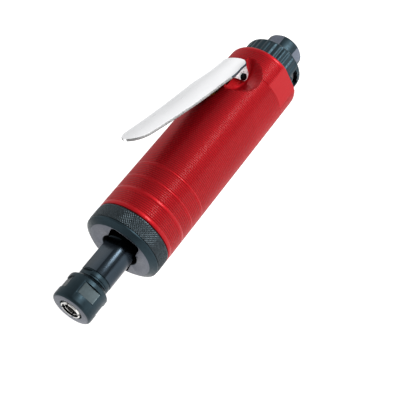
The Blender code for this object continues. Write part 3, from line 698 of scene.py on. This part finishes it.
def collet():
    """The bright sleeve with its stepped face, whose grooves are painted dark as shade, and four
    slots.
    """
    outline = [
        (74.5, 3.2), (74.5, 4.5), (90.2, 5.2), (91.4, 6.2), (92.2, 6.2), (97.3, 4.8), (97.7, 4.7),
        (97.8, 4.6), (97.8, 4.1), (97.6, 4.0), (96.4, 3.9), (96.4, 3.7), (97.1, 3.6), (97.1, 3.3),
        (97.0, 3.2),
    ]
    sleeve = lathe("spring_collet", outline, 96)
    cuts = []
    for degrees in (20, 110, 200, 290):
        cuts.append(spun(block("slot", (79, -0.4, 2), (99, 0.4, 8)), math.radians(degrees)))
    carve(sleeve, cuts)

    # Near-black in the face's grooves and steps: painted shade.
    def in_shadow(c, n):
        return c.x > 95 and (3.55 < reach(c) < 4.05 or c.x < 97.6 and abs(n.x) < 0.2)

    dress(sleeve, MATERIALS["bright"], (MATERIALS["pin"], in_shadow))
    piece(sleeve, "spindle", "collet")


def collet_nut():
    """The nut, with four serrated flats between two grooves."""
    outline = [
        (83.6, 7.0), (83.6, 7.55), (83.8, 7.75), (85.0, 9.25), (85.4, 9.45), (96.1, 9.45),
        (96.7, 9.3), (97.1, 8.95), (97.3, 8.55), (97.3, 5.6), (97.1, 5.35), (96.7, 5.3), (92, 7.0),
    ]
    nut = lathe("collet_nut_milled", outline, 144)
    tools = []
    rear, front, teeth = 87.2, 92.7, 26
    saw = [(0, -9 + 18 * i / teeth, 8.5 + (0.12 if i % 2 else 0.0)) for i in range(teeth + 1)]
    saw += [(0, 9, 13), (0, -9, 13)]
    for k in range(4):
        angle = NUT_TURN + k * TAU / 4
        tools.append(spun(extrude("flat", saw, (rear, 0, 0), (front, 0, 0)), angle))
        for x in (rear, front):
            tools.append(spun(block("groove", (x - 0.18, -9, 8.3), (x + 0.18, 9, 13)), angle))
    carve(nut, tools)

    def on_flat(c, n):
        return 87.3 < c.x < 92.6 and reach(c) < 9.4 and abs(n.x) < 0.3

    dress(
        nut, MATERIALS["black"],
        (MATERIALS["black_worn"], on_flat),
        # The front face's lighter black is painted sheen.
        (MATERIALS["black_face"], lambda c, n: n.x > 0.9 and c.x > 97.2),
    )
    piece(nut, "nut", "collet_nut")


# Rear end -----------------------------------------------------------------------------------


def exhaust_deflector():
    """The fluted cap round the inlet, with its exhaust window."""
    outline = [
        (-53.9, 13.4), (-53.9, 14.7), (-54.1, 14.95), (-55.4, 14.95), (-55.7, 15.2), (-56.5, 15.2),
        (-58.5, 15.2), (-60.5, 15.2), (-62.4, 15.2), (-63.2, 15.18), (-63.8, 15.05), (-64.2, 14.75),
        (-64.4, 14.3), (-64.4, 8.6), (-64.2, 8.4), (-62.2, 8.4), (-62.2, 13.4),
    ]

    def fluted(x, angles, r):
        if not (-63.7 < x < -55.6 and r > 14.5):
            return np.full(len(angles), float(r))
        wave = 0.5 + 0.5 * np.cos(angles * FLUTES)
        fade = min(1.0, (x + 63.9) / 0.9)
        return r - FLUTE_DEPTH * fade * wave**1.5

    cap = lathe("exhaust_deflector_fluted", outline, FLUTES * 10, fluted, sharp=40)
    window = []
    for radius, sweep in ((11.5, range(96, 127, 5)), (17, range(126, 95, -5))):
        for degrees in sweep:
            angle = math.radians(degrees)
            window.append((0, radius * math.sin(angle), radius * math.cos(angle)))
    carve(cap, [extrude("window", window, (-61.6, 0, 0), (-57.0, 0, 0))], sharp=40)
    dress(
        cap, MATERIALS["black"],
        # Near-black inside the cap: painted shade.
        (MATERIALS["pin"], lambda c, n: reach(c) < 14.2 and -64.2 < c.x < -54),
    )
    piece(cap, "deflector", "exhaust_deflector")


def inlet_bushing():
    """The inlet's tube, with four shallow wrench flats at its end."""
    outline = [
        (-75.2, 6.6), (-75.2, 8.9), (-75.0, 9.2), (-74.5, 9.45), (-74.0, 9.48), (-64.9, 9.48),
        (-64.8, 9.1), (-64.8, 8.0), (-42.2, 8.0), (-42.2, 4.6), (-58, 4.6), (-58, 6.2), (-74.8, 6.2),
    ]
    bushing = lathe("inlet_bushing_wrench", outline, 144)
    flats = []
    for k in range(4):
        angle = BUSHING_TURN + k * TAU / 4
        flats.append(spun(block("flat", (-76, -9, 8.9), (-66, 9, 12)), angle))
    carve(bushing, flats)
    soften(bushing, 0.15)

    def on_flat(c, n):
        facing = c.y * n.y + c.z * n.z
        return c.x < -66 and abs(n.x) < 0.1 and reach(c) < 9.2 and facing > 8.7

    dress(
        bushing, MATERIALS["black"],
        (MATERIALS["flat"], on_flat),
        # Near-black in the bore: painted shade.
        (MATERIALS["pin"], lambda c, n: reach(c) < 6.4 and c.x < -58),
    )
    piece(bushing, "body", "inlet_bushing")


housing()
lever()
lever_pin()
valve_spring()
clamp_ring()
collet_body()
collet()
collet_nut()
exhaust_deflector()
inlet_bushing()


# Stage, light and camera --------------------------------------------------------------------


def floor():
    mesh = bpy.data.meshes.new("floor")
    size, height = 4.0, -0.085
    corners = [(x, y, height) for x, y in ((-size, -size), (size, -size), (size, size), (-size, size))]
    mesh.from_pydata(corners, [], [(0, 1, 2, 3)])
    plane = bpy.data.objects.new("floor", mesh)
    bpy.context.scene.collection.objects.link(plane)
    paint = Paint("pale_floor", (0.93, 0.93, 0.93), 0.0, 0.9)
    paint.shader.inputs["Specular IOR Level"].default_value = 0.1
    paint.shader.inputs["Emission Color"].default_value = (1, 1, 1, 1)
    paint.shader.inputs["Emission Strength"].default_value = 0.45
    mesh.materials.append(paint.material)


def softbox(name, direction, distance, size, power):
    """A rectangular light that faces the object from the given direction."""
    light = bpy.data.lights.new(name, "AREA")
    light.shape = "RECTANGLE"
    light.size, light.size_y = size
    light.energy = power
    lamp = bpy.data.objects.new(name, light)
    bpy.context.scene.collection.objects.link(lamp)
    back = Vector(direction).normalized()
    right = Vector((1, 0, 0)) - back * back.x
    right.normalize()
    up = back.cross(right)
    turn = Matrix((right, up, back)).transposed().to_4x4()
    target = Vector((0.01, 0, 0))
    lamp.matrix_world = Matrix.Translation(target + back * distance) @ turn


def sky_ramp(tree, source, stops):
    """Brightness by direction: (place from -1 to 1, value) pairs."""
    span = tree.nodes.new("ShaderNodeMapRange")
    span.inputs["From Min"].default_value = -1.0
    tree.links.new(source, span.inputs["Value"])
    ramp = tree.nodes.new("ShaderNodeValToRGB")
    elements = ramp.color_ramp.elements
    while len(elements) < len(stops):
        elements.new(0.5)
    for element, (place, value) in zip(elements, stops):
        element.position = (place + 1) / 2
        element.color = (value, value, value, 1)
    tree.links.new(span.outputs["Result"], ramp.inputs["Fac"])
    return ramp.outputs["Color"]


def studio():
    world = bpy.data.worlds.new("studio")
    bpy.context.scene.world = world
    world.use_nodes = True
    tree = world.node_tree
    split = tree.nodes.new("ShaderNodeSeparateXYZ")
    tree.links.new(tree.nodes.new("ShaderNodeTexCoord").outputs["Generated"], split.inputs[0])
    side = sky_ramp(tree, split.outputs["Y"], [(-0.3, 1.0), (0.25, 0.5)])
    heights = [(0.0, 0.5), (0.3, 0.88), (0.5, 1.2), (0.7, 0.95), (0.95, 0.55)]
    height = sky_ramp(tree, split.outputs["Z"], heights)
    both = tree.nodes.new("ShaderNodeMath")
    both.operation = "MULTIPLY"
    tree.links.new(side, both.inputs[0])
    tree.links.new(height, both.inputs[1])
    tree.links.new(both.outputs[0], tree.nodes["Background"].inputs["Color"])
    tree.nodes["Background"].inputs["Strength"].default_value = 1.0
    softbox("key", (-0.45, 0.74, 0.51), 1.0, (0.72, 0.24), 8.5)
    view = bpy.context.scene.view_settings
    view.view_transform = "Standard"
    view.look = "None"


def camera():
    data = bpy.data.cameras.new("camera")
    data.lens = 84.19
    data.sensor_width = 36
    data.clip_start = 0.01
    obj = bpy.data.objects.new("camera", data)
    bpy.context.scene.collection.objects.link(obj)
    right = Vector((-0.5461, 0.7352, -0.4018))
    up = Vector((-0.6885, -0.1205, 0.7152))
    back = right.cross(up)
    turn = Matrix((right, up, back)).transposed().to_4x4()
    obj.matrix_world = Matrix.Translation((0.21915, 0.28648, 0.22788)) @ turn
    bpy.context.scene.camera = obj


floor()
studio()
camera()
